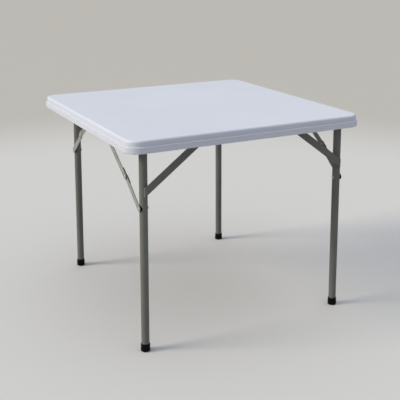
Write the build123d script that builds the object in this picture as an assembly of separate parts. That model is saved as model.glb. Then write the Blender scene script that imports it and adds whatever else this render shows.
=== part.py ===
from build123d import *
from math import acos, atan2, cos, hypot, radians, sin, sqrt, tan
import os

# A square folding card table: a blow moulded top on two folding leg frames, each braced by two
# two-piece stays. Millimetres, +Z up, origin on the floor below the table's centre, +X along the
# front edge to the right, +Y towards the back. Every piece is built for the front right corner,
# where x is positive and y is negative, and reflected to the other corners.

# Moulded top
TOP_SIDE = 880.0
TOP_HEIGHT = 727.0
RIM_DEPTH = 41.0
LEDGE_DEPTH = 19.8
LEDGE_WIDTH = 4.2
UPPER_DRAFT_DEG = 4.0
CORNER_RADIUS = 50.0
TOP_EDGE_ROUND = 8.0
LEDGE_ROUND = 1.6
RIM_FOOT_ROUND = 3.2
PANEL_THICKNESS = 14.0
RIM_THICKNESS = 14.0
WALL = 2.6
RECESS_ROUND = 4.0

# Hollow cones that tie the lower skin of the top to its upper skin
TIE_SPACING = 76.0
TIE_EDGE = 12.0
TIE_MOUTH_RADIUS = 11.0
TIE_TIP_RADIUS = 4.0

# Leg frames: the front pair stands wider, so that the back pair folds inside it
AXLE_INSET = 53.5
FRONT_LEG_INSET = 68.7
BACK_LEG_NEST = 50.1
FRONT_AXLE_HANG = 25.0
BACK_AXLE_HANG = 19.0
LEG_LEAN_DEG = 0.96
LEG_SPLAY_DEG = 1.0
LEG_DIAMETER = 27.0
LEG_WALL = 1.2
AXLE_DIAMETER = 25.0
AXLE_WALL = 1.5
AXLE_STUB = 3.0

# Foot caps
CAP_HEIGHT = 28.0
CAP_TOP_WALL = 1.8
CAP_FOOT_WALL = 3.0
CAP_FOOT_ROUND = 5.0
CAP_LIP_ROUND = 1.0
CAP_FLOOR = 5.0
CAP_TRIM = 0.5

# Axle plugs
PLUG_FLANGE = 2.0
PLUG_DEPTH = 14.0
PLUG_ROUND = 0.9

# Struts: flat strips from each leg up to the axle, their ends turned back and welded on
STRUT_STANDOFF = 7.2
STRUT_SEAT = 3.0
STRUT_SHEET = 2.0
STRUT_WIDTH = 24.3
STRUT_LEG_DROP = 133.0
STRUT_LEG_LAP = 3.5
STRUT_AXLE_RISE = 6.0
STRUT_SPAN = 186.5
STRUT_BEND_ROUND = 1.5

# Axle saddles: a steel strap under the axle and a plastic bearing above it
SADDLE_GAP = 1.5
SADDLE_WIDTH = 16.0
SADDLE_SHEET = 1.6
SADDLE_FLANGE = 15.0
AXLE_CLEARANCE = 0.05
BEARING_RISE = 6.0

# Stays: two flat bars between a leg and a bracket under the top
STAY_DROP = 190.0
STAY_REACH = 258.5
STAY_RISE = 2.0
STAY_KINK_DEG = 4.4
BAR_WIDTH = 21.0
BAR_SHEET = 1.8
BAR_GAP = 1.6
SPACER_THICKNESS = 1.2
SPACER_DIAMETER = 22.0
OPEN_GAP = 0.3

# Stop plates: one is riveted to each bar beside the elbow. Its turned edge passes the bar's edge
# and laps the other bar, so that the elbow can't go past straight. Places run from the elbow.
STOP_SHEET = 1.2
STOP_EDGE_GAP = 0.5
STOP_HEAD_GAP = 1.5
STOP_LAP = 0.9
STOP_BEND_ROUND = 0.8
STOP_COVER_SHARE = 0.8
UPPER_STOP_START = -2.0
UPPER_STOP_RIVET = 22.6
UPPER_STOP_END = 28.0
LOWER_STOP_START = 5.0
LOWER_STOP_RIVET = 24.5
LOWER_STOP_END = 34.0

# Stay bracket
BRACKET_SHEET = 2.0
BRACKET_EAR_WIDTH = 24.0
BRACKET_BASE_LENGTH = 64.0
BRACKET_BASE_WIDTH = 22.0
BRACKET_CORNER_ROUND = 4.0

# Rivets and screws
PIN_RADIUS = 3.0
PIN_CLEARANCE = 0.05
PIN_HEAD_RADIUS = 5.5
PIN_HEAD_HEIGHT = 2.3
PIN_TAIL_HEIGHT = 1.4
PIN_SHOULDER_RADIUS = 6.0
FACE_CLEARANCE = 0.1
TAIL_HEAD_RADIUS = 5.0
TAIL_HEAD_HEIGHT = 2.6
STOP_RIVET_RADIUS = 2.0
STOP_RIVET_HEAD_RADIUS = 3.6
SCREW_RADIUS = 2.0
SCREW_HOLE_RADIUS = 2.2
SCREW_HEAD_RADIUS = 4.2
SCREW_HEAD_HEIGHT = 2.4
SCREW_DEPTH = 10.0
SCREW_BOSS_RADIUS = 6.0
SCREW_SOCKET_RADIUS = 1.6
SCREW_SOCKET_DEPTH = 1.3
HEAD_ROUND_SHARE = 0.6

# One overrun for every cut
OVERRUN = 1.0

# Heights and sizes that follow from the ones above
RIM_FOOT_Z = TOP_HEIGHT - RIM_DEPTH
LEDGE_Z = TOP_HEIGHT - LEDGE_DEPTH
UNDERSIDE_Z = TOP_HEIGHT - PANEL_THICKNESS
UPPER_SIDE = TOP_SIDE - 2 * LEDGE_WIDTH
UPPER_CORNER = CORNER_RADIUS - LEDGE_WIDTH
RECESS_SIDE = TOP_SIDE - 2 * RIM_THICKNESS
RECESS_CORNER = CORNER_RADIUS - RIM_THICKNESS
LEAN = radians(LEG_LEAN_DEG)
SPLAY = radians(LEG_SPLAY_DEG)
AXLE_Y = TOP_SIDE / 2 - AXLE_INSET
FRONT_SPREAD = TOP_SIDE / 2 - FRONT_LEG_INSET
BACK_SPREAD = FRONT_SPREAD - BACK_LEG_NEST
FRONT_AXLE_Z = UNDERSIDE_Z - FRONT_AXLE_HANG
BACK_AXLE_Z = UNDERSIDE_Z - BACK_AXLE_HANG
ENDS = (("front", -1, FRONT_SPREAD, FRONT_AXLE_Z), ("back", 1, BACK_SPREAD, BACK_AXLE_Z))
TIE_ROWS = 1 + int(2 * (BACK_SPREAD - TIE_EDGE) / TIE_SPACING)
LEG_RADIUS = LEG_DIAMETER / 2
STRUT_FACE = LEG_RADIUS + STRUT_STANDOFF
STRUT_DEPTH = STRUT_STANDOFF + STRUT_SEAT
AXLE_RADIUS = AXLE_DIAMETER / 2
AXLE_BORE_RADIUS = AXLE_RADIUS - AXLE_WALL
BEARING_RADIUS = AXLE_RADIUS + AXLE_CLEARANCE
SADDLE_OFFSET = LEG_RADIUS + SADDLE_GAP
SADDLE_RADIUS = BEARING_RADIUS + SADDLE_SHEET
SADDLE_HALF_SPAN = SADDLE_RADIUS + SADDLE_FLANGE
SADDLE_SCREW_Y = SADDLE_RADIUS + SADDLE_FLANGE / 2
AXLE_OVERHANG = SADDLE_OFFSET + SADDLE_WIDTH + AXLE_STUB
BRACKET_SCREW_Y = BRACKET_BASE_LENGTH / 2 - 2 * SCREW_HEAD_RADIUS
BAR_RADIUS = BAR_WIDTH / 2
PIN_HOLE_RADIUS = PIN_RADIUS + PIN_CLEARANCE
LOW_HEAD_HEIGHT = BAR_GAP - OPEN_GAP
STOP_FACE_START = PIN_HEAD_RADIUS + STOP_HEAD_GAP
STOP_EDGE_IN = BAR_RADIUS + STOP_EDGE_GAP
STOP_EDGE_OUT = STOP_EDGE_IN + STOP_SHEET
STOP_FACE_EDGE = BAR_RADIUS - BAR_WIDTH * STOP_COVER_SHARE

# Where the layers of a stay lie, counted out from the leg's outer side at its pivot
LOWER_BAR_IN = SPACER_THICKNESS + OPEN_GAP
LOWER_BAR_OUT = LOWER_BAR_IN + BAR_SHEET
UPPER_BAR_IN = LOWER_BAR_OUT + BAR_GAP
UPPER_BAR_OUT = UPPER_BAR_IN + BAR_SHEET
EAR_IN = UPPER_BAR_OUT + OPEN_GAP
EAR_OUT = EAR_IN + BRACKET_SHEET

# The stay's two lengths: folded, its pivots lie on one line, and standing it has a slight kink
PIVOT_Y = -AXLE_Y - STAY_DROP * sin(LEAN)
HANGER_Y = STAY_REACH - AXLE_Y
PIVOT_DEPTH = STAY_DROP * cos(LEAN)
STANDING_SPAN = hypot(HANGER_Y - PIVOT_Y, PIVOT_DEPTH + STAY_RISE)
FOLDED_SPAN = hypot(STAY_REACH - STAY_DROP, STAY_RISE)
KINK = cos(radians(STAY_KINK_DEG))
STAY_SUM = sqrt((2 * STANDING_SPAN**2 - FOLDED_SPAN**2 * (1 - KINK)) / (1 + KINK))
UPPER_LENGTH = (STAY_SUM + FOLDED_SPAN) / 2
LOWER_LENGTH = (STAY_SUM - FOLDED_SPAN) / 2
HANGER_CORNER = acos(
    (UPPER_LENGTH**2 + STANDING_SPAN**2 - LOWER_LENGTH**2) / (2 * UPPER_LENGTH * STANDING_SPAN)
)
SPAN_SLOPE = atan2(PIVOT_DEPTH + STAY_RISE, HANGER_Y - PIVOT_Y)
UPPER_SLOPE = SPAN_SLOPE - HANGER_CORNER


def elbow_yz(axle_z):
    """Where the two bars of a stay meet, as y and z."""
    y = HANGER_Y - UPPER_LENGTH * cos(UPPER_SLOPE)
    z = axle_z + STAY_RISE - UPPER_LENGTH * sin(UPPER_SLOPE)
    return y, z


def pivot_yz(axle_z):
    """Where the lower bar is pinned to the leg, as y and z."""
    return PIVOT_Y, axle_z - PIVOT_DEPTH


def leg_side_x(spread):
    """The outer side of a leg at the height of its stay pivot."""
    return spread + STAY_DROP * tan(SPLAY) + LEG_RADIUS


def bracket_base_x(spread):
    """The middle of a stay bracket's base."""
    return leg_side_x(spread) + EAR_IN + BRACKET_BASE_WIDTH / 2


# Small shapes
def slab(side, corner, low, high):
    return extrude(Plane.XY.offset(low) * RectangleRounded(side, side, corner), high - low)


def side_plane(x, y, z, angle=0.0):
    """A plane that faces +X, with its own x direction turned up from +Y by the angle."""
    return Plane(origin=(x, y, z), x_dir=(0, cos(angle), sin(angle)), z_dir=(1, 0, 0))


def disc(plane, radius, start, end):
    return extrude(plane.offset(start) * Circle(radius), end - start)


def button(plane, radius, start, height):
    """A rivet or screw head that stands on the plane at the given offset, rounded on its face."""
    head = extrude(plane.offset(start) * Circle(radius), height)
    face = head.faces().sort_by(lambda f: (f.center() - plane.origin).dot(plane.z_dir))
    far = face[-1] if height > 0 else face[0]
    return fillet(far.edges(), min(abs(height) * HEAD_ROUND_SHARE, radius * HEAD_ROUND_SHARE))


def frame_plane(axle_z):
    """The plane of a leg frame: x along the axle, y up the leaning legs, z outwards."""
    return Plane(origin=(0, -AXLE_Y, axle_z), x_dir=(1, 0, 0), z_dir=(0, -cos(LEAN), sin(LEAN)))


def below_floor():
    span = 2 * TOP_SIDE
    return Location((0, 0, -span / 2)) * Box(span, span, span)


# The top
def saddle_screw_places():
    """The x and y of the saddles' screws on the right side."""
    return [
        (spread + SADDLE_OFFSET + SADDLE_WIDTH / 2, y_side * (AXLE_Y + step * SADDLE_SCREW_Y))
        for end, y_side, spread, axle_z in ENDS
        for step in (-1, 1)
    ]


def bracket_screw_places():
    """The x and y of the stay brackets' screws on the right side."""
    return [
        (bracket_base_x(spread), y_side * (step * BRACKET_SCREW_Y - HANGER_Y))
        for end, y_side, spread, axle_z in ENDS
        for step in (-1, 1)
    ]


def screw_places():
    return both_sides(saddle_screw_places() + bracket_screw_places())


def both_sides(places):
    return [(side * x, y) for x, y in places for side in (-1, 1)]


def table_top():
    lower_band = slab(TOP_SIDE, CORNER_RADIUS, RIM_FOOT_Z, LEDGE_Z)
    lower_band = fillet(lower_band.edges().group_by(Axis.Z)[0], RIM_FOOT_ROUND)
    lower_band = fillet(lower_band.edges().group_by(Axis.Z)[-1], LEDGE_ROUND)
    upper_sketch = Plane.XY.offset(LEDGE_Z) * RectangleRounded(UPPER_SIDE, UPPER_SIDE, UPPER_CORNER)
    upper_band = extrude(upper_sketch, LEDGE_DEPTH, taper=UPPER_DRAFT_DEG)
    upper_band = fillet(upper_band.edges().group_by(Axis.Z)[-1], TOP_EDGE_ROUND)
    recess = slab(RECESS_SIDE, RECESS_CORNER, RIM_FOOT_Z - OVERRUN, UNDERSIDE_Z)
    recess = fillet(recess.edges().group_by(Axis.Z)[-1], RECESS_ROUND)
    return lower_band + upper_band - recess - hollow() - tie_cones(0) - screw_holes()


def tie_cones(wall):
    """The mouths of the ties, or, with the skin's wall, the cores round them."""
    cone = Cone(
        TIE_MOUTH_RADIUS + wall,
        TIE_TIP_RADIUS + wall,
        PANEL_THICKNESS - 2 * WALL,
        align=(Align.CENTER, Align.CENTER, Align.MIN),
    )
    ties = GridLocations(TIE_SPACING, TIE_SPACING, TIE_ROWS, TIE_ROWS)
    return [Location((0, 0, UNDERSIDE_Z + wall)) * tie * cone for tie in ties]


def hollow():
    """The air space between the two skins of the top, cleared of its ties and screw bosses."""
    upper_drop = LEDGE_DEPTH * tan(radians(UPPER_DRAFT_DEG))
    lower_side = TOP_SIDE - 2 * WALL
    upper_side = UPPER_SIDE - 2 * WALL - 2 * upper_drop
    lower_air = slab(lower_side, CORNER_RADIUS - WALL, RIM_FOOT_Z + WALL, LEDGE_Z - WALL)
    upper_air = slab(
        upper_side, UPPER_CORNER - WALL - upper_drop, RIM_FOOT_Z + WALL, TOP_HEIGHT - WALL
    )
    upper_air = fillet(upper_air.edges().group_by(Axis.Z)[-1], TOP_EDGE_ROUND - WALL)
    inner = slab(
        RECESS_SIDE + 2 * WALL, RECESS_CORNER + WALL, RIM_FOOT_Z - OVERRUN, UNDERSIDE_Z + WALL
    )
    bosses = [
        disc(Plane((x, y, UNDERSIDE_Z)), SCREW_BOSS_RADIUS, 0, PANEL_THICKNESS)
        for x, y in screw_places()
    ]
    return lower_air + upper_air - inner - tie_cones(WALL) - bosses


def screw_holes():
    return [
        disc(Plane((x, y, UNDERSIDE_Z)), SCREW_RADIUS, -OVERRUN, SCREW_DEPTH)
        for x, y in screw_places()
    ]


# Pieces of a leg frame, drawn in the frame's own plane
def axle(spread):
    half = spread + AXLE_OVERHANG
    tube = Circle(AXLE_RADIUS) - Circle(AXLE_BORE_RADIUS)
    return extrude(Plane.YZ.offset(-half) * tube, 2 * half)


def axle_solid(spread):
    half = spread + AXLE_OVERHANG
    return extrude(Plane.YZ.offset(-half) * Circle(AXLE_RADIUS), 2 * half)


def axle_plug(spread):
    end = spread + AXLE_OVERHANG
    flange = disc(Plane.YZ, AXLE_RADIUS, end, end + PLUG_FLANGE)
    flange = fillet(flange.faces().sort_by(Axis.X)[-1].edges(), PLUG_ROUND)
    return flange + disc(Plane.YZ, AXLE_BORE_RADIUS, end - PLUG_DEPTH, end)


def leg_plane(spread):
    """Along a leg from the axle down, in the frame's plane."""
    return Plane(origin=(spread, 0, 0), x_dir=(0, 0, 1), z_dir=(sin(SPLAY), -cos(SPLAY), 0))


def leg_length(axle_z):
    return axle_z / cos(LEAN) / cos(SPLAY)


def leg_rod(spread, axle_z, radius):
    return disc(leg_plane(spread), radius, 0, leg_length(axle_z) - CAP_FLOOR)


def pivot_plane(spread):
    """Faces +X on the leg's outer side at the stay pivot, in the frame's plane."""
    return Plane(origin=(leg_side_x(spread), -STAY_DROP, 0), x_dir=(0, 1, 0), z_dir=(1, 0, 0))


def leg(spread, axle_z):
    tube = leg_rod(spread, axle_z, LEG_RADIUS) - leg_rod(spread, axle_z, LEG_RADIUS - LEG_WALL)
    pin_hole = disc(pivot_plane(spread), PIN_RADIUS, -2 * LEG_DIAMETER, LEG_DIAMETER)
    return tube - axle_solid(spread) - pin_hole


def pivot_spacer(spread, axle_z):
    """A plastic saddle washer between the leg and the lower bar."""
    plane = pivot_plane(spread)
    washer = disc(plane, SPACER_DIAMETER / 2, -LEG_RADIUS / 2, SPACER_THICKNESS)
    washer = washer - leg_rod(spread, axle_z, LEG_RADIUS)
    return washer - disc(plane, PIN_RADIUS, -LEG_RADIUS, 2 * SPACER_THICKNESS)


def pivot_pin(spread):
    """The pin through the leg, with its tail head on the inner side."""
    plane = pivot_plane(spread)
    head_start = -LEG_DIAMETER - FACE_CLEARANCE
    shank = disc(plane, PIN_RADIUS, head_start, SPACER_THICKNESS)
    return shank + button(plane, TAIL_HEAD_RADIUS, head_start, -TAIL_HEAD_HEIGHT)


def foot_cap(spread, axle_z):
    """A tapered cap over the leg's end, in the frame's plane; the floor trims it level later."""
    length = leg_length(axle_z)
    whole = CAP_HEIGHT + CAP_TRIM
    lying = Plane(
        origin=leg_plane(spread).offset(length + CAP_TRIM).origin,
        x_dir=(0, 0, 1),
        z_dir=(-sin(SPLAY), cos(SPLAY), 0),
    )
    cap = Cone(
        LEG_RADIUS + CAP_FOOT_WALL,
        LEG_RADIUS + CAP_TOP_WALL,
        whole,
        align=(Align.CENTER, Align.CENTER, Align.MIN),
    )
    cap = fillet(cap.edges().group_by(Axis.Z)[0], CAP_FOOT_ROUND)
    cap = fillet(cap.edges().group_by(Axis.Z)[-1], CAP_LIP_ROUND)
    bore = disc(Plane.XY, LEG_RADIUS, CAP_FLOOR + CAP_TRIM, whole + OVERRUN)
    return lying * (cap - bore)


def strut_outline(spread, end_inset, width):
    """The strut's face: upright where it laps the leg, level where it meets the axle."""
    leg_x = spread + STRUT_LEG_DROP * tan(SPLAY)
    axle_x = spread - STRUT_SPAN
    slope = atan2(STRUT_LEG_DROP + STRUT_AXLE_RISE, leg_x - axle_x)
    low_x = leg_x + STRUT_LEG_LAP - end_inset
    low_y = -STRUT_LEG_DROP - (low_x - leg_x) * tan(slope)
    high_x = axle_x + end_inset / tan(slope)
    high_y = STRUT_AXLE_RISE - end_inset
    half_upright = width / cos(slope) / 2
    half_level = width / sin(slope) / 2
    corners = [
        (low_x, low_y - half_upright),
        (low_x, low_y + half_upright),
        (high_x + half_level, high_y),
        (high_x - half_level, high_y),
    ]
    return make_face(Polyline(*corners, close=True))


def strut(spread, axle_z):
    base = STRUT_FACE - STRUT_DEPTH
    strip = extrude(Plane.XY.offset(base) * strut_outline(spread, 0, STRUT_WIDTH), STRUT_DEPTH)
    face_edges = strip.edges().group_by(Axis.Z)[-1]
    bends = face_edges.filter_by(Axis.X) + face_edges.filter_by(Axis.Y)
    strip = fillet(bends, STRUT_BEND_ROUND)
    under = strut_outline(spread, STRUT_SHEET, STRUT_WIDTH + 2 * OVERRUN)
    under = extrude(Plane.XY.offset(base - OVERRUN) * under, STRUT_DEPTH - STRUT_SHEET + OVERRUN)
    return strip - under - leg_rod(spread, axle_z, LEG_RADIUS) - axle_solid(spread)


# Axle saddles, drawn in place
def saddle_plane(spread, axle_z):
    return Plane(
        origin=(spread + SADDLE_OFFSET, -AXLE_Y, axle_z), x_dir=(0, 1, 0), z_dir=(1, 0, 0)
    )


def saddle_block(spread, axle_z, half_width, low, high):
    """A block across a saddle, from one height to another above the axle."""
    sketch = Location((0, (low + high) / 2)) * Rectangle(2 * half_width, high - low)
    return extrude(saddle_plane(spread, axle_z) * sketch, SADDLE_WIDTH)


def axle_saddle(spread, axle_z):
    plane = saddle_plane(spread, axle_z)
    top = UNDERSIDE_Z - axle_z
    hoop = disc(plane, SADDLE_RADIUS, 0, SADDLE_WIDTH)
    strap = hoop + saddle_block(spread, axle_z, SADDLE_RADIUS, 0, top)
    strap = strap + saddle_block(spread, axle_z, SADDLE_HALF_SPAN, top - SADDLE_SHEET, top)
    strap = strap - disc(plane, BEARING_RADIUS, -OVERRUN, SADDLE_WIDTH + OVERRUN)
    strap = strap - saddle_block(spread, axle_z, BEARING_RADIUS, 0, top)
    middle = spread + SADDLE_OFFSET + SADDLE_WIDTH / 2
    for step in (-1, 1):
        place = Plane((middle, -AXLE_Y + step * SADDLE_SCREW_Y, UNDERSIDE_Z))
        strap = strap - disc(place, SCREW_HOLE_RADIUS, -2 * SADDLE_SHEET, OVERRUN)
    return strap


def axle_bearing(spread, axle_z):
    block = saddle_block(
        spread, axle_z, BEARING_RADIUS, BEARING_RISE, UNDERSIDE_Z - axle_z
    )
    return block - disc(saddle_plane(spread, axle_z), BEARING_RADIUS, -OVERRUN, 2 * SADDLE_WIDTH)


def screw(x, y, flange):
    """A pan head screw up into the top, its head under a flange of the given thickness."""
    plane = Plane((x, y, UNDERSIDE_Z))
    head = button(plane, SCREW_HEAD_RADIUS, -flange, -SCREW_HEAD_HEIGHT)
    shank = disc(plane, SCREW_RADIUS, -flange, SCREW_DEPTH)
    socket = disc(
        plane.offset(-flange - SCREW_HEAD_HEIGHT), SCREW_SOCKET_RADIUS, -OVERRUN, SCREW_SOCKET_DEPTH
    )
    return head + shank - socket


# Pieces of a stay, drawn in place
def bar(plane, length, thickness):
    """A flat bar with round ends along the plane's x from its origin."""
    middle = Location((length / 2, 0)) * Rectangle(length, BAR_WIDTH)
    ends = Circle(BAR_RADIUS) + Location((length, 0)) * Circle(BAR_RADIUS)
    return extrude(plane * (middle + ends), thickness)


def upper_plane(spread, axle_z):
    """From the elbow up along the upper bar, on the leg's outer side."""
    return side_plane(leg_side_x(spread), *elbow_yz(axle_z), UPPER_SLOPE)


def lower_plane(spread, axle_z):
    """From the elbow down along the lower bar, on the leg's outer side."""
    elbow_y, elbow_z = elbow_yz(axle_z)
    pivot_y, pivot_z = pivot_yz(axle_z)
    angle = atan2(pivot_z - elbow_z, pivot_y - elbow_y)
    return side_plane(leg_side_x(spread), elbow_y, elbow_z, angle)


def along(plane, distance):
    """The same plane moved along its own x."""
    return Plane(origin=plane.origin + plane.x_dir * distance, x_dir=plane.x_dir, z_dir=plane.z_dir)


def upper_bar(spread, axle_z):
    plane = upper_plane(spread, axle_z)
    piece = bar(plane.offset(UPPER_BAR_IN), UPPER_LENGTH, BAR_SHEET)
    for distance in (0, UPPER_LENGTH):
        piece = piece - disc(along(plane, distance), PIN_HOLE_RADIUS, 0, 2 * UPPER_BAR_OUT)
    return piece - disc(along(plane, UPPER_STOP_RIVET), STOP_RIVET_RADIUS, 0, 2 * UPPER_BAR_OUT)


def lower_bar(spread, axle_z):
    plane = lower_plane(spread, axle_z)
    piece = bar(plane.offset(LOWER_BAR_IN), LOWER_LENGTH, BAR_SHEET)
    for distance in (0, LOWER_LENGTH):
        piece = piece - disc(along(plane, distance), PIN_RADIUS, 0, 2 * LOWER_BAR_OUT)
    return piece - disc(along(plane, LOWER_STOP_RIVET), STOP_RIVET_RADIUS, 0, 2 * LOWER_BAR_OUT)


def stop_block(plane, start, end, edge, other_edge, low, high):
    """A block along a bar, between two edges across it and two layers out from the leg."""
    middle = Location(((start + end) / 2, (edge + other_edge) / 2))
    sketch = middle * Rectangle(end - start, abs(edge - other_edge))
    return extrude(plane.offset(low) * sketch, high - low)


def stop_plate(plane, side, start, end, layer, reach):
    """A sheet on a bar's face from one layer, its edge turned square on one side to reach another."""
    face_out = layer + STOP_SHEET
    face = stop_block(
        plane, STOP_FACE_START, end, side * STOP_FACE_EDGE, side * STOP_EDGE_OUT, layer, face_out
    )
    low, high = min(layer, reach), max(face_out, reach)
    turned = stop_block(plane, start, end, side * STOP_EDGE_IN, side * STOP_EDGE_OUT, low, high)
    bent = face + turned
    bend_layer = low if reach > layer else high
    bend = plane.origin + plane.y_dir * side * STOP_EDGE_OUT + plane.z_dir * bend_layer
    lengthwise = bent.edges().filter_by(Axis(plane.origin, plane.x_dir))
    nearest = lengthwise.sort_by(lambda e: (e.center() - bend).cross(plane.x_dir).length)[0]
    return fillet(nearest, STOP_BEND_ROUND)


def upper_stop(spread, axle_z):
    """Lies on the upper bar's outer face, its edge turned in over the lower bar."""
    plane = upper_plane(spread, axle_z)
    reach = LOWER_BAR_OUT - STOP_LAP
    plate = stop_plate(plane, 1, UPPER_STOP_START, UPPER_STOP_END, UPPER_BAR_OUT, reach)
    return plate - disc(along(plane, UPPER_STOP_RIVET), STOP_RIVET_RADIUS, 0, 2 * UPPER_BAR_OUT)


def lower_stop(spread, axle_z):
    """Lies on the lower bar's inner face, its edge turned out under the upper bar."""
    plane = lower_plane(spread, axle_z)
    layer = LOWER_BAR_IN - STOP_SHEET
    reach = UPPER_BAR_IN + STOP_LAP
    plate = stop_plate(plane, -1, LOWER_STOP_START, LOWER_STOP_END, layer, reach)
    return plate - disc(along(plane, LOWER_STOP_RIVET), STOP_RIVET_RADIUS, 0, 2 * LOWER_BAR_OUT)


def elbow_rivet(spread, axle_z):
    """Fixed in the lower bar, with a shoulder that keeps the upper bar clear of it."""
    plane = lower_plane(spread, axle_z)
    shoulder_end = UPPER_BAR_IN - FACE_CLEARANCE
    head_start = UPPER_BAR_OUT + FACE_CLEARANCE
    inner_head = button(plane, PIN_HEAD_RADIUS, LOWER_BAR_IN, -PIN_TAIL_HEIGHT)
    shank = disc(plane, PIN_RADIUS, LOWER_BAR_IN, head_start)
    shoulder = disc(plane, PIN_SHOULDER_RADIUS, LOWER_BAR_OUT, shoulder_end)
    outer_head = button(plane, PIN_HEAD_RADIUS, head_start, PIN_HEAD_HEIGHT)
    return inner_head + shank + shoulder + outer_head


def leg_end_rivet(spread, axle_z):
    """The low head that fills the lower bar's end hole and stops short of the leg's spacer."""
    plane = along(lower_plane(spread, axle_z), LOWER_LENGTH)
    stub = disc(plane, PIN_RADIUS, LOWER_BAR_IN, LOWER_BAR_OUT)
    return stub + button(plane, PIN_HEAD_RADIUS, LOWER_BAR_OUT, LOW_HEAD_HEIGHT)


def stop_rivet(plane, start, end):
    """Through a bar and its stop plate, its head on the outer side."""
    shank = disc(plane, STOP_RIVET_RADIUS, start, end)
    return shank + button(plane, STOP_RIVET_HEAD_RADIUS, end, LOW_HEAD_HEIGHT)


def lower_stop_rivet(spread, axle_z):
    plane = along(lower_plane(spread, axle_z), LOWER_STOP_RIVET)
    return stop_rivet(plane, LOWER_BAR_IN - STOP_SHEET, LOWER_BAR_OUT)


def upper_stop_rivet(spread, axle_z):
    plane = along(upper_plane(spread, axle_z), UPPER_STOP_RIVET)
    return stop_rivet(plane, UPPER_BAR_IN, UPPER_BAR_OUT + STOP_SHEET)


def hanger_plane(spread, axle_z):
    return side_plane(leg_side_x(spread), HANGER_Y, axle_z + STAY_RISE)


def stay_bracket(spread, axle_z):
    """An angle of sheet steel: an ear for the upper bar and a base screwed under the top."""
    plane = hanger_plane(spread, axle_z)
    drop = UNDERSIDE_Z - axle_z - STAY_RISE
    half_ear = BRACKET_EAR_WIDTH / 2
    ear = Circle(half_ear) + Location((0, drop / 2)) * Rectangle(BRACKET_EAR_WIDTH, drop)
    ear = extrude(plane.offset(EAR_IN) * ear, BRACKET_SHEET)
    base_plane = Plane((bracket_base_x(spread), HANGER_Y, UNDERSIDE_Z - BRACKET_SHEET))
    base = base_plane * RectangleRounded(
        BRACKET_BASE_WIDTH, BRACKET_BASE_LENGTH, BRACKET_CORNER_ROUND
    )
    piece = ear + extrude(base, BRACKET_SHEET)
    piece = piece - disc(plane, PIN_RADIUS, EAR_IN - OVERRUN, EAR_OUT + OVERRUN)
    for step in (-1, 1):
        screw_y = HANGER_Y + step * BRACKET_SCREW_Y
        place = Plane((bracket_base_x(spread), screw_y, UNDERSIDE_Z))
        piece = piece - disc(place, SCREW_HOLE_RADIUS, -2 * BRACKET_SHEET, OVERRUN)
    return piece


def bracket_pin(spread, axle_z):
    """Fixed in the ear; the upper bar turns on it."""
    plane = hanger_plane(spread, axle_z)
    tail_start = UPPER_BAR_IN - FACE_CLEARANCE
    shank = disc(plane, PIN_RADIUS, tail_start, EAR_OUT)
    tail = button(plane, PIN_HEAD_RADIUS, tail_start, -PIN_TAIL_HEIGHT)
    return shank + tail + button(plane, PIN_HEAD_RADIUS, EAR_OUT, PIN_HEAD_HEIGHT)


# Placing and writing
def reflect(piece, x_side, y_side):
    """From the front right corner to another corner."""
    if x_side < 0:
        piece = mirror(piece, about=Plane.YZ)
    if y_side > 0:
        piece = mirror(piece, about=Plane.XZ)
    return piece


def save(name, *pieces):
    solids = [solid for piece in pieces for solid in piece.solids()]
    shape = solids[0] if len(solids) == 1 else Compound(children=solids)
    export_step(shape, "parts/" + name + ".step")


os.makedirs("parts", exist_ok=True)
save("table_top", table_top())

bracket_pins = []
for end, y_side, spread, axle_z in ENDS:
    leaning = frame_plane(axle_z)
    save(end + "_axle", reflect(leaning * axle(spread), 1, y_side))
    plugs = [reflect(leaning * axle_plug(spread), side, y_side) for side in (-1, 1)]
    save(end + "_axle_plugs", *plugs)
    pins = [reflect(leaning * pivot_pin(spread), side, y_side) for side in (-1, 1)]
    save(end + "_leg_pins", *pins)
    spacer = leaning * pivot_spacer(spread, axle_z)
    save(end + "_pin_spacers", *[reflect(spacer, side, y_side) for side in (-1, 1)])
    for side_name, side in (("left", -1), ("right", 1)):
        corner = end + "_" + side_name + "_"
        in_frame = {
            "leg": leg(spread, axle_z),
            "strut": strut(spread, axle_z),
        }
        for name, piece in in_frame.items():
            save(corner + name, reflect(leaning * piece, side, y_side))
        cap = leaning * foot_cap(spread, axle_z) - below_floor()
        save(corner + "foot_cap", reflect(cap, side, y_side))
        in_place = {
            "axle_saddle": axle_saddle(spread, axle_z),
            "axle_bearing": axle_bearing(spread, axle_z),
            "stay_bracket": stay_bracket(spread, axle_z),
            "upper_stay_bar": upper_bar(spread, axle_z),
            "lower_stay_bar": lower_bar(spread, axle_z),
            "upper_stop_plate": upper_stop(spread, axle_z),
            "upper_stop_rivet": upper_stop_rivet(spread, axle_z),
            "lower_stop_plate": lower_stop(spread, axle_z),
        }
        for name, piece in in_place.items():
            save(corner + name, reflect(piece, side, y_side))
        rivets = (elbow_rivet, leg_end_rivet, lower_stop_rivet)
        rivets = [reflect(rivet(spread, axle_z), side, y_side) for rivet in rivets]
        save(corner + "stay_rivets", *rivets)
        bracket_pins.append(reflect(bracket_pin(spread, axle_z), side, y_side))
save("stay_bracket_pins", *bracket_pins)

saddle_screws = [screw(x, y, SADDLE_SHEET) for x, y in both_sides(saddle_screw_places())]
bracket_screws = [screw(x, y, BRACKET_SHEET) for x, y in both_sides(bracket_screw_places())]
save("axle_saddle_screws", *saddle_screws)
save("stay_bracket_screws", *bracket_screws)
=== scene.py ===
import math

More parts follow.
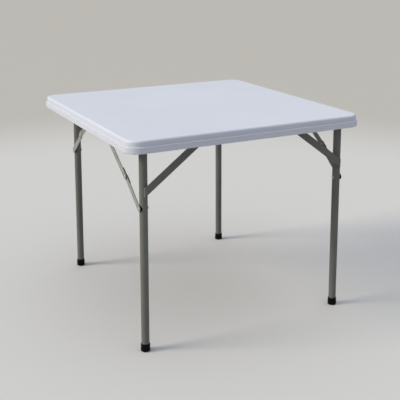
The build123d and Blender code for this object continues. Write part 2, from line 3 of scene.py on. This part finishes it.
import bpy
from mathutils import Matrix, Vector


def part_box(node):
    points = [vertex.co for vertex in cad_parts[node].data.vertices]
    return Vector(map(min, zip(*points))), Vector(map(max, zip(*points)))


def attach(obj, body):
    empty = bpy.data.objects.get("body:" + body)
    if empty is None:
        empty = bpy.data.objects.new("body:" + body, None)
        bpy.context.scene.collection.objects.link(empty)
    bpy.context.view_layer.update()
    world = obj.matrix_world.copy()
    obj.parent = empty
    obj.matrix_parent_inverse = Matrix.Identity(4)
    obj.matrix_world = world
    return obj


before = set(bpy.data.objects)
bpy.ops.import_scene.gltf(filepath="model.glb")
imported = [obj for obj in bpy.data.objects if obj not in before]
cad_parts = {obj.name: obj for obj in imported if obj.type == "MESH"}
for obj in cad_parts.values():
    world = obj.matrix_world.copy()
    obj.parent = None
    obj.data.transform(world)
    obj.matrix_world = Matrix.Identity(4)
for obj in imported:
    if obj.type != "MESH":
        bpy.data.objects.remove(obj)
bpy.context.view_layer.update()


# The camera stands left of the front, a little above the top, and looks down at the table with a
# long lens, as the photograph was taken.
CAMERA_PLACE = (-1.2689, -2.4894, 1.2730)
CAMERA_TARGET = (0.0291, 0.0, 0.3497)
FIELD_OF_VIEW_DEG = 29.38

camera = bpy.data.objects.new("camera", bpy.data.cameras.new("camera"))
bpy.context.scene.collection.objects.link(camera)
camera.location = CAMERA_PLACE
camera_aim = Vector(CAMERA_TARGET) - Vector(CAMERA_PLACE)
camera.rotation_euler = camera_aim.to_track_quat("-Z", "Y").to_euler()
camera.data.angle = math.radians(FIELD_OF_VIEW_DEG)
bpy.context.scene.camera = camera
bpy.context.scene.view_settings.view_transform = "Standard"


# The top is one hollow blow moulding in pale blue-grey polyethylene. Its skin has the fine grain
# of the mould, so it looks satin, and the foot of the rim is lightly rubbed by handling.
class Shade:
    """The output of a shader node. Sums, differences and products of it add Math nodes."""

    # A Mix node has several sockets of one name, so those for colours go by their numbers
    MIX_FIRST_COLOUR = 6
    MIX_SECOND_COLOUR = 7
    MIX_RESULT_COLOUR = 2

    def __init__(self, tree, socket=None):
        self.tree = tree
        self.socket = socket

    def node(self, kind, settings, inputs, output=0):
        """Adds a node: its settings first, then the values or links of its sockets."""
        made = self.tree.nodes.new(kind)
        for name, setting in settings.items():
            setattr(made, name, setting)
        for key, value in inputs.items():
            if isinstance(value, Shade):
                self.tree.links.new(value.socket, made.inputs[key])
            else:
                made.inputs[key].default_value = value
        return Shade(self.tree, made.outputs[output])

    def maths(self, operation, first, second):
        return self.node("ShaderNodeMath", {"operation": operation}, {0: first, 1: second})

    def __add__(self, other):
        return self.maths("ADD", self, other)

    def __radd__(self, other):
        return self.maths("ADD", other, self)

    def __sub__(self, other):
        return self.maths("SUBTRACT", self, other)

    def __rsub__(self, other):
        return self.maths("SUBTRACT", other, self)

    def __mul__(self, other):
        return self.maths("MULTIPLY", self, other)

    def __rmul__(self, other):
        return self.maths("MULTIPLY", other, self)

    def noise(self, per_metre, detail, roughness=0.5):
        """Noise from 0 to 1 on these coordinates, with so many bumps to a metre."""
        inputs = {"Vector": self, "Scale": per_metre, "Detail": detail, "Roughness": roughness}
        return self.node("ShaderNodeTexNoise", {}, inputs)

    def cells(self, per_metre):
        """The distance to the nearest of many scattered points."""
        return self.node("ShaderNodeTexVoronoi", {}, {"Vector": self, "Scale": per_metre})

    def band(self, low, high):
        """0 below low, 1 above high, and smooth between."""
        settings = {"interpolation_type": "SMOOTHSTEP"}
        inputs = {"Value": self, "From Min": low, "From Max": high}
        return self.node("ShaderNodeMapRange", settings, inputs)

    def axis(self, name):
        """One coordinate of a place: X, Y or Z."""
        return self.node("ShaderNodeSeparateXYZ", {}, {"Vector": self}, name)

    def mixed(self, first, second):
        """A colour between two, by this value."""
        settings = {"data_type": "RGBA"}
        inputs = {
            "Factor": self,
            self.MIX_FIRST_COLOUR: first,
            self.MIX_SECOND_COLOUR: second,
        }
        return self.node("ShaderNodeMix", settings, inputs, self.MIX_RESULT_COLOUR)

    def bumped(self, distance):
        """A surface normal with this height on it."""
        return self.node("ShaderNodeBump", {}, {"Height": self, "Distance": distance})


def finish(name, fixed):
    """A new material: its shader with the fixed socket values, and places on the piece."""
    material = bpy.data.materials.new(name)
    material.use_nodes = True
    tree = material.node_tree
    shader = tree.nodes["Principled BSDF"]
    for key, value in fixed.items():
        shader.inputs[key].default_value = value
    place = Shade(tree).node("ShaderNodeTexCoord", {}, {}, "Object")
    return material, shader, place


def feed(shader, **sources):
    """Links what changes over the surface into the shader's sockets."""
    tree = shader.id_data
    for key, source in sources.items():
        tree.links.new(source.socket, shader.inputs[key.replace("_", " ")])


def wears(material, *endings):
    """Gives the material to every node whose name has one of these endings."""
    for name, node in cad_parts.items():
        if name.endswith(endings):
            node.data.materials.clear()
            node.data.materials.append(material)


TOP_COLOUR = (0.600, 0.626, 0.740, 1.0)
TOP_SHADE = (0.581, 0.608, 0.721, 1.0)
TOP_SCUFF = (0.490, 0.490, 0.514, 1.0)
TOP_SPECULAR = 0.42
TOP_CLOUDS = {"per_metre": 2.6, "detail": 3.0}
TOP_CLOUD_BAND = (0.35, 0.65)
TOP_ROUGHNESS = 0.46
TOP_SHEEN = {"per_metre": 11.0, "detail": 4.0}
TOP_SHEEN_RANGE = 0.08
TOP_GRAIN_PER_METRE = 900.0
TOP_GRAIN_HEIGHT = 0.00002
RIM_FOOT_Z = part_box("table_top")[0].z
RUB_HEIGHT = 0.006
RUB_MARKS = {"per_metre": 34.0, "detail": 5.0, "roughness": 0.62}
RUB_BAND = (0.56, 0.72)
RUB_STRENGTH = 0.3
RUB_POLISH = 0.08


def moulded_plastic():
    material, shader, place = finish("moulded plastic", {"Specular IOR Level": TOP_SPECULAR})
    foot = 1.0 - place.axis("Z").band(RIM_FOOT_Z, RIM_FOOT_Z + RUB_HEIGHT)
    rubbing_and_painted_light = place.noise(**RUB_MARKS).band(*RUB_BAND) * foot * RUB_STRENGTH
    colour = place.noise(**TOP_CLOUDS).band(*TOP_CLOUD_BAND).mixed(TOP_COLOUR, TOP_SHADE)
    colour = rubbing_and_painted_light.mixed(colour, TOP_SCUFF)
    sheen = place.noise(**TOP_SHEEN) * TOP_SHEEN_RANGE
    roughness = TOP_ROUGHNESS + sheen - rubbing_and_painted_light * RUB_POLISH
    normal = place.cells(TOP_GRAIN_PER_METRE).bumped(TOP_GRAIN_HEIGHT)
    feed(shader, Base_Color=colour, Roughness=roughness, Normal=normal)
    return material


wears(moulded_plastic(), "table_top")


# The leg frames are welded steel: round tube legs that lean and splay a little, the axle tube
# across their tops, and flat strips as struts. All is powder coated in a semi matt grey.
PAINT = (0.149, 0.153, 0.144, 1.0)
PAINT_DARK = (0.135, 0.139, 0.131, 1.0)
PAINT_CHIP = (0.330, 0.325, 0.310, 1.0)
PAINT_SPECULAR = 0.2
PAINT_CLOUDS = {"per_metre": 9.0, "detail": 4.0}
PAINT_CLOUD_BAND = (0.35, 0.65)
PAINT_ROUGHNESS = 0.46
PAINT_SHEEN_RANGE = 0.12
PEEL = {"per_metre": 420.0, "detail": 2.0}
PEEL_HEIGHT = 0.00012
CHIPS_PER_METRE = 160.0
CHIP_BAND = (0.05, 0.085)
CHIP_PATCHES = {"per_metre": 14.0, "detail": 2.0}
CHIP_PATCH_BAND = (0.56, 0.62)
CHIP_STRENGTH = 0.6
CHIP_ROUGHNESS = 0.1


def powder_coat():
    material, shader, place = finish("powder coat", {"Specular IOR Level": PAINT_SPECULAR})
    clouds = place.noise(**PAINT_CLOUDS)
    patches = place.noise(**CHIP_PATCHES).band(*CHIP_PATCH_BAND)
    chips = (1.0 - place.cells(CHIPS_PER_METRE).band(*CHIP_BAND)) * patches
    colour = clouds.band(*PAINT_CLOUD_BAND).mixed(PAINT, PAINT_DARK)
    colour = (chips * CHIP_STRENGTH).mixed(colour, PAINT_CHIP)
    roughness = PAINT_ROUGHNESS + clouds * PAINT_SHEEN_RANGE + chips * CHIP_ROUGHNESS
    normal = place.noise(**PEEL).bumped(PEEL_HEIGHT)
    feed(shader, Base_Color=colour, Roughness=roughness, Normal=normal)
    return material


grey_paint = powder_coat()
wears(grey_paint, "_leg", "_axle", "_strut")


# The frames' welds: a rippled bead round each leg where it is coped to the axle, and one along
# each end of a strut, upright on the leg and level on the axle, all under the same paint.
LEG_RADIUS = 0.0135
AXLE_RADIUS = 0.0125
LEG_LEAN_DEG = 0.96
BEAD_RADIUS = 0.0015
RIPPLE_DEPTH_SHARE = 0.16
RIPPLES_PER_METRE = 520.0
LEG_BEAD_STEPS = 96
LEG_BEAD_SIDES = 10
STRUT_BEAD_STEPS = 64
STRUT_BEAD_SIDES = 14
STRUT_LEG_END = 0.0300
STRUT_AXLE_END = 0.0400
STRUT_TAB_DEPTH = 0.0077


def leg_bead(centre_x, axle_middle):
    """A bead round a leg, lowered where the leg is cut to fit the axle."""
    centre = Vector((centre_x, axle_middle.y, axle_middle.z))
    bpy.ops.object.select_all(action="DESELECT")
    bpy.ops.mesh.primitive_torus_add(
        major_segments=LEG_BEAD_STEPS,
        minor_segments=LEG_BEAD_SIDES,
        major_radius=LEG_RADIUS,
        minor_radius=BEAD_RADIUS,
        location=centre,
    )
    bpy.ops.object.transform_apply(location=True, rotation=False, scale=False)
    bead = bpy.context.object
    for vertex in bead.data.vertices:
        from_leg = vertex.co - centre
        turn = math.atan2(from_leg.y, from_leg.x)
        beside = min(abs(LEG_RADIUS * math.sin(turn)), AXLE_RADIUS)
        ripple = math.sin(turn * LEG_RADIUS * math.tau * RIPPLES_PER_METRE)
        out = Vector((math.cos(turn), math.sin(turn), 0.0))
        vertex.co += out * BEAD_RADIUS * RIPPLE_DEPTH_SHARE * ripple
        vertex.co.z -= math.sqrt(AXLE_RADIUS**2 - beside**2)
    return bead


def strut_bead(centre, length, turned):
    """A bead with tapered ends, drawn upright and then turned about its middle."""
    bpy.ops.object.select_all(action="DESELECT")
    bpy.ops.mesh.primitive_uv_sphere_add(
        segments=STRUT_BEAD_SIDES,
        ring_count=STRUT_BEAD_STEPS,
        radius=1.0,
        scale=(BEAD_RADIUS, BEAD_RADIUS, length / 2),
    )
    bpy.ops.object.transform_apply(location=False, rotation=False, scale=True)
    bead = bpy.context.object
    for vertex in bead.data.vertices:
        ripple = math.sin(vertex.co.z * math.tau * RIPPLES_PER_METRE)
        out = Vector((vertex.co.x, vertex.co.y, 0.0))
        vertex.co += out * RIPPLE_DEPTH_SHARE * ripple
    bead.rotation_euler = turned
    bead.location = centre
    bpy.ops.object.transform_apply(location=True, rotation=True, scale=False)
    return bead


def joined(name, parts, body, material):
    """Makes one smooth piece from several, riding on a body."""
    bpy.ops.object.select_all(action="DESELECT")
    for part in parts:
        part.select_set(True)
    bpy.context.view_layer.objects.active = parts[0]
    bpy.ops.object.join()
    piece = bpy.context.object
    piece.name = name
    bpy.ops.object.shade_smooth()
    piece.data.materials.clear()
    piece.data.materials.append(material)
    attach(piece, body)


for end, outward in (("front", -1), ("back", 1)):
    axle_low, axle_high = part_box(f"{end}_axle")
    axle_middle = (axle_low + axle_high) / 2
    beads = []
    for side, across in (("left", -1), ("right", 1)):
        leg_low, leg_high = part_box(f"{end}_{side}_leg")
        inner_x = leg_high.x if across < 0 else leg_low.x
        beads.append(leg_bead(inner_x + across * LEG_RADIUS, axle_middle))
        strut_low, strut_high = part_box(f"{end}_{side}_strut")
        leg_end_x = strut_low.x if across < 0 else strut_high.x
        axle_end_x = strut_high.x if across < 0 else strut_low.x
        face_y = strut_low.y if outward < 0 else strut_high.y
        axle_end_y = strut_high.y if outward < 0 else strut_low.y
        tab_y = face_y - outward * STRUT_TAB_DEPTH
        on_leg = (leg_end_x, tab_y, strut_low.z + STRUT_LEG_END / 2)
        lean = outward * math.radians(LEG_LEAN_DEG)
        beads.append(strut_bead(on_leg, STRUT_LEG_END, (lean, 0.0, 0.0)))
        on_axle = (axle_end_x + across * STRUT_AXLE_END / 2, axle_end_y, strut_high.z)
        beads.append(strut_bead(on_axle, STRUT_AXLE_END, (0.0, math.pi / 2, 0.0)))
    joined(f"{end}_leg_welds", beads, f"{end}_legs", grey_paint)


# The foot caps are black moulded polyethylene, pushed on, and have picked up pale dust from the
# floor. The axles' plugs and bearings and the spacers on the leg pins are of the same plastic.
CAP_BLACK = (0.003, 0.003, 0.0029, 1.0)
CAP_DUST = (0.030, 0.029, 0.027, 1.0)
CAP_SPECULAR = 0.08
CAP_ROUGHNESS = 0.40
CAP_SHEEN = {"per_metre": 60.0, "detail": 3.0}
CAP_SHEEN_RANGE = 0.12
CAP_GRAIN = {"per_metre": 900.0, "detail": 2.0}
CAP_GRAIN_HEIGHT = 0.00006
DUST_HEIGHT = 0.007
DUST_SPECKS = {"per_metre": 170.0, "detail": 5.0, "roughness": 0.65}
DUST_BAND = (0.45, 0.75)
DUST_STRENGTH = 0.6
DUST_ROUGHNESS = 0.3


def black_plastic():
    material, shader, place = finish("black plastic", {"Specular IOR Level": CAP_SPECULAR})
    near_floor = 1.0 - place.axis("Z").band(0.0, DUST_HEIGHT)
    dust = place.noise(**DUST_SPECKS).band(*DUST_BAND) * near_floor * DUST_STRENGTH
    colour = dust.mixed(CAP_BLACK, CAP_DUST)
    sheen = place.noise(**CAP_SHEEN) * CAP_SHEEN_RANGE
    roughness = CAP_ROUGHNESS + sheen + dust * DUST_ROUGHNESS
    normal = place.noise(**CAP_GRAIN).bumped(CAP_GRAIN_HEIGHT)
    feed(shader, Base_Color=colour, Roughness=roughness, Normal=normal)
    return material


wears(black_plastic(), "_foot_cap", "_axle_plugs", "_pin_spacers", "_axle_bearing")


# The saddles that hold the axles and the brackets of the stays are bent from steel strip and
# painted like the frames. Zinc plated pan head screws hold them to bosses in the top.
ZINC = (0.560, 0.570, 0.570, 1.0)
ZINC_DULL = (0.390, 0.397, 0.397, 1.0)
ZINC_METALLIC = 0.85
ZINC_ROUGHNESS = 0.34
SPANGLE = {"per_metre": 130.0, "detail": 3.0}
SPANGLE_ROUGHNESS = 0.14
TARNISH = {"per_metre": 38.0, "detail": 4.0}
TARNISH_BAND = (0.42, 0.66)
TARNISH_ROUGHNESS = 0.1
ZINC_GRAIN = {"per_metre": 700.0, "detail": 2.0}
ZINC_GRAIN_HEIGHT = 0.00004


def zinc_plate():
    material, shader, place = finish("zinc plate", {"Metallic": ZINC_METALLIC})
    spangle = place.noise(**SPANGLE)
    tarnish = place.noise(**TARNISH).band(*TARNISH_BAND)
    colour = tarnish.mixed(ZINC, ZINC_DULL)
    roughness = ZINC_ROUGHNESS + spangle * SPANGLE_ROUGHNESS + tarnish * TARNISH_ROUGHNESS
    normal = place.noise(**ZINC_GRAIN).bumped(ZINC_GRAIN_HEIGHT)
    feed(shader, Base_Color=colour, Roughness=roughness, Normal=normal)
    return material


zinc = zinc_plate()
wears(grey_paint, "_axle_saddle", "_stay_bracket")
wears(zinc, "_saddle_screws", "_bracket_screws")


# The stays: flat steel bars and stop plates in the frames' grey. Their outer faces are painted
# paler than their inner faces and edges: painted light standing in for the lamp on the outer
# faces, while the inner faces keep the plain grey as their shade. Bright rivets go through all
# of them.
# The outer faces' pale colours: painted light for the lamp on them, not a colour of their own
BAR_PAINTED_LIGHT = (0.250, 0.257, 0.255, 1.0)
BAR_PAINTED_LIGHT_PALE = (0.292, 0.300, 0.300, 1.0)
BAR_ROUGHNESS = 0.42
OUTWARD_BAND = (0.15, 0.25)
ROLLED = {"per_metre": 26.0, "detail": 4.0}
ROLLED_BAND = (0.4, 0.62)
ROLLED_ROUGHNESS = 0.14


def paint_with_painted_light():
    material, shader, place = finish("paint with painted light", {"Specular IOR Level": PAINT_SPECULAR})
    facing = place.node("ShaderNodeNewGeometry", {}, {}, "True Normal").axis("X")
    # Painted light: faces turned outward from the table get the paler colour, standing in for
    # lamp light
    outward = (facing * place.axis("X")).band(*OUTWARD_BAND)
    rolled = place.noise(**ROLLED)
    rubbing_and_painted_light = rolled.band(*ROLLED_BAND).mixed(BAR_PAINTED_LIGHT, BAR_PAINTED_LIGHT_PALE)
    colour = outward.mixed(PAINT, rubbing_and_painted_light)
    roughness = BAR_ROUGHNESS + rolled * ROLLED_ROUGHNESS
    normal = place.noise(**PEEL).bumped(PEEL_HEIGHT)
    feed(shader, Base_Color=colour, Roughness=roughness, Normal=normal)
    return material


wears(paint_with_painted_light(), "_stay_bar", "_stop_plate")
wears(zinc, "_stay_rivets", "_stop_rivet", "_leg_pins", "_bracket_pins")


# A seamless pale floor, wide enough to fill every view. It fades into a warmer, darker grey far
# from the table, which is painted shade standing in for the light falling off there.
FLOOR_NEAR = (0.560, 0.552, 0.564, 1.0)
FLOOR_FAR = (0.449, 0.432, 0.415, 1.0)
FLOOR_SPECULAR = 0.1
FLOOR_ROUGHNESS = 0.9
FLOOR_RADIUS = 40.0
FLOOR_SIDES = 96
FADE_START = 2.1
FADE_END = 3.6

bpy.ops.object.select_all(action="DESELECT")
bpy.ops.mesh.primitive_circle_add(vertices=FLOOR_SIDES, radius=FLOOR_RADIUS, fill_type="NGON")
floor = bpy.context.object
floor.name = "floor"


def floor_paper():
    fixed = {"Specular IOR Level": FLOOR_SPECULAR, "Roughness": FLOOR_ROUGHNESS}
    material, shader, place = finish("floor paper", fixed)
    distance = place.node("ShaderNodeVectorMath", {"operation": "LENGTH"}, {0: place}, "Value")
    # Painted shade: darker and warmer with distance from the table
    colour = distance.band(FADE_START, FADE_END).mixed(FLOOR_NEAR, FLOOR_FAR)
    feed(shader, Base_Color=colour)
    return material


floor.data.materials.append(floor_paper())


# One warm lamp from the left and a little behind, as wide as a large soft box, and a cooler room
# that is brightest overhead. Where the camera or a mirror sees the room, it is a plain backdrop
# in the far floor's grey.
LAMP_AZIMUTH_DEG = 165.0
LAMP_HEIGHT_DEG = 30.0
LAMP_WIDTH_DEG = 22.0
LAMP_COLOUR = (1.0, 0.94, 0.76)
LAMP_STRENGTH = 2.58
ROOM_COLOUR = (0.95, 1.0, 1.05, 1.0)
ROOM_LOW = 0.02
ROOM_OVERHEAD = 1.48
BACKDROP_STRENGTH = 1.14

lamp = bpy.data.objects.new("lamp", bpy.data.lights.new("lamp", "SUN"))
bpy.context.scene.collection.objects.link(lamp)
lamp.data.energy = LAMP_STRENGTH
lamp.data.color = LAMP_COLOUR
lamp.data.angle = math.radians(LAMP_WIDTH_DEG)
lamp_side = math.radians(LAMP_AZIMUTH_DEG)
lamp_height = math.radians(LAMP_HEIGHT_DEG)
lamp_from = Vector(
    (
        math.cos(lamp_side) * math.cos(lamp_height),
        math.sin(lamp_side) * math.cos(lamp_height),
        math.sin(lamp_height),
    )
)
lamp.rotation_euler = lamp_from.to_track_quat("Z", "Y").to_euler()

world = bpy.data.worlds.new("room")
bpy.context.scene.world = world
world.use_nodes = True
room = world.node_tree
room.nodes.clear()
sky = Shade(room)
up = sky.node("ShaderNodeTexCoord", {}, {}, "Generated").axis("Z")
up = sky.node("ShaderNodeClamp", {}, {"Value": up})
strength = up * up * ROOM_OVERHEAD + ROOM_LOW
light = sky.node("ShaderNodeBackground", {}, {"Color": ROOM_COLOUR, "Strength": strength})
backdrop_look = {"Color": FLOOR_FAR, "Strength": BACKDROP_STRENGTH}
backdrop = sky.node("ShaderNodeBackground", {}, backdrop_look)
seen = sky.node("ShaderNodeLightPath", {}, {}, "Is Camera Ray")
mirrored = sky.node("ShaderNodeLightPath", {}, {}, "Is Glossy Ray")
through = sky.node("ShaderNodeLightPath", {}, {}, "Is Transmission Ray")
plain = seen + mirrored + through
both = sky.node("ShaderNodeMixShader", {}, {0: plain, 1: light, 2: backdrop})
world_output = room.nodes.new("ShaderNodeOutputWorld")
room.links.new(both.socket, world_output.inputs["Surface"])
